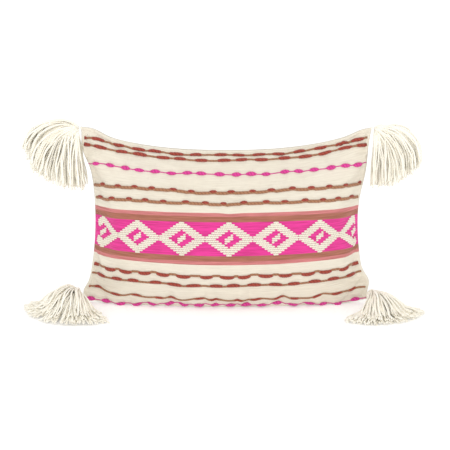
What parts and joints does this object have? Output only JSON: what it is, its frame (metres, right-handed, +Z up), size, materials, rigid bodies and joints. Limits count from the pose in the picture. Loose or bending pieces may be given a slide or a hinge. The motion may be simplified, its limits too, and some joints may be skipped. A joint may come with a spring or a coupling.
{
  "type": "throw pillow",
  "caption": "Lumbar throw pillow in woven cotton with slub yarn lines and a diamond brocade band, a zipped back, a fibre insert and a swinging yarn tassel at every corner",
  "frame": {"origin": "in the bottom seam, at the middle of the flat on which the pillow rests", "axes": "+X along the width, to the right as seen from the front; +Y towards the back; +Z up"},
  "size_m": [0.6942, 0.2079, 0.3254],
  "materials": {
    "cover_cloth": "handwoven cream cotton, matt, with salmon, brown and hot pink bands",
    "sewing_thread": "cream cotton thread",
    "zip_tape": "cream woven tape",
    "zip_coil": "cream nylon coil",
    "zip_metal": "nickel-plated, lightly worn",
    "insert_casing": "plain white cotton",
    "fibre_filling": "white polyester fibre",
    "rust_yarn": "brick red slub yarn",
    "tan_yarn": "tan and brown slub yarn",
    "pink_yarn": "pink slub yarn",
    "brocade_yarn": "raised cream brocade yarn",
    "tassel_yarn": "thick soft cream cotton yarn"
  },
  "bodies": {
    "pillow": {"front_panel": "cover_cloth", "back_panel_upper": "cover_cloth", "back_panel_lower": "cover_cloth", "perimeter_seam_thread": "sewing_thread", "zip_tape_upper": "zip_tape", "zip_tape_lower": "zip_tape", "zip_coil_upper": "zip_coil", "zip_coil_lower": "zip_coil", "zip_stitching": "sewing_thread", "zip_stop_closed_end": "zip_metal", "zip_stop_open_end": "zip_metal", "insert_front_panel": "insert_casing", "insert_back_panel": "insert_casing", "insert_seam_thread": "sewing_thread", "insert_filling": "fibre_filling", "rust_slub_top_outer": "rust_yarn", "rust_slub_top_inner": "rust_yarn", "pink_slub_upper": "pink_yarn", "tan_slub_upper_outer": "tan_yarn", "tan_slub_upper_inner": "tan_yarn", "diamond_brocade": "brocade_yarn", "rust_slub_lower_inner": "rust_yarn", "rust_slub_lower_outer": "rust_yarn", "brown_slub_lower": "tan_yarn", "pink_slub_lower": "pink_yarn"},
    "zip_slider": {"zip_slider": "zip_metal"},
    "zip_pull": {"zip_pull": "zip_metal"},
    "tassel_tl_cord": {"tassel_tl_loop": "tassel_yarn"},
    "tassel_tl": {"tassel_tl_head": "tassel_yarn", "tassel_tl_wrap": "tassel_yarn", "tassel_tl_skirt": "tassel_yarn"},
    "tassel_tr_cord": {"tassel_tr_loop": "tassel_yarn"},
    "tassel_tr": {"tassel_tr_head": "tassel_yarn", "tassel_tr_wrap": "tassel_yarn", "tassel_tr_skirt": "tassel_yarn"},
    "tassel_bl_cord": {"tassel_bl_loop": "tassel_yarn"},
    "tassel_bl": {"tassel_bl_head": "tassel_yarn", "tassel_bl_wrap": "tassel_yarn", "tassel_bl_skirt": "tassel_yarn"},
    "tassel_br_cord": {"tassel_br_loop": "tassel_yarn"},
    "tassel_br": {"tassel_br_head": "tassel_yarn", "tassel_br_wrap": "tassel_yarn", "tassel_br_skirt": "tassel_yarn"}
  },
  "joints": [
    {"name": "tassel_tl_out", "type": "hinge", "parent": "pillow", "child": "tassel_tl_cord", "pos_m": [-0.2475, 0.02, 0.309], "axis": [0, 1, 0], "range_deg": [0, 100]},
    {"name": "tassel_tl_swing", "type": "hinge", "parent": "tassel_tl_cord", "child": "tassel_tl", "pos_m": [-0.2539, 0.02, 0.30919], "axis": [1, 0, 0], "range_deg": [-60, 60]},
    {"name": "tassel_tr_out", "type": "hinge", "parent": "pillow", "child": "tassel_tr_cord", "pos_m": [0.2475, 0.02, 0.309], "axis": [0, -1, 0], "range_deg": [0, 100]},
    {"name": "tassel_tr_swing", "type": "hinge", "parent": "tassel_tr_cord", "child": "tassel_tr", "pos_m": [0.25389, 0.02, 0.30868], "axis": [1, 0, 0], "range_deg": [-60, 60]},
    {"name": "tassel_bl_sweep", "type": "hinge", "parent": "pillow", "child": "tassel_bl_cord", "pos_m": [-0.2475, 0.00045, 0.007], "axis": [0, 0, -1], "range_deg": [-15, 100]},
    {"name": "tassel_bl_lift", "type": "hinge", "parent": "tassel_bl_cord", "child": "tassel_bl", "pos_m": [-0.24939, -0.00561, 0.00781], "axis": [-0.9549, 0.2971, 0], "range_deg": [0, 55]},
    {"name": "tassel_br_sweep", "type": "hinge", "parent": "pillow", "child": "tassel_br_cord", "pos_m": [0.2475, 0.00045, 0.007], "axis": [0, 0, 1], "range_deg": [-15, 100]},
    {"name": "tassel_br_lift", "type": "hinge", "parent": "tassel_br_cord", "child": "tassel_br", "pos_m": [0.24858, -0.00401, 0.01146], "axis": [-0.972, -0.2352, 0], "range_deg": [0, 30]},
    {"name": "zip_run", "type": "hinge", "parent": "pillow", "child": "zip_slider", "pos_m": [0, -0.80888, 0.048], "axis": [0, 0, 1], "range_deg": [0, 24.19]},
    {"name": "zip_pull_flip", "type": "hinge", "parent": "zip_slider", "child": "zip_pull", "pos_m": [0.18046, 0.03288, 0.04659], "axis": [0.0756, 0.3526, 0.9327], "range_deg": [0, 170]}
  ]
}
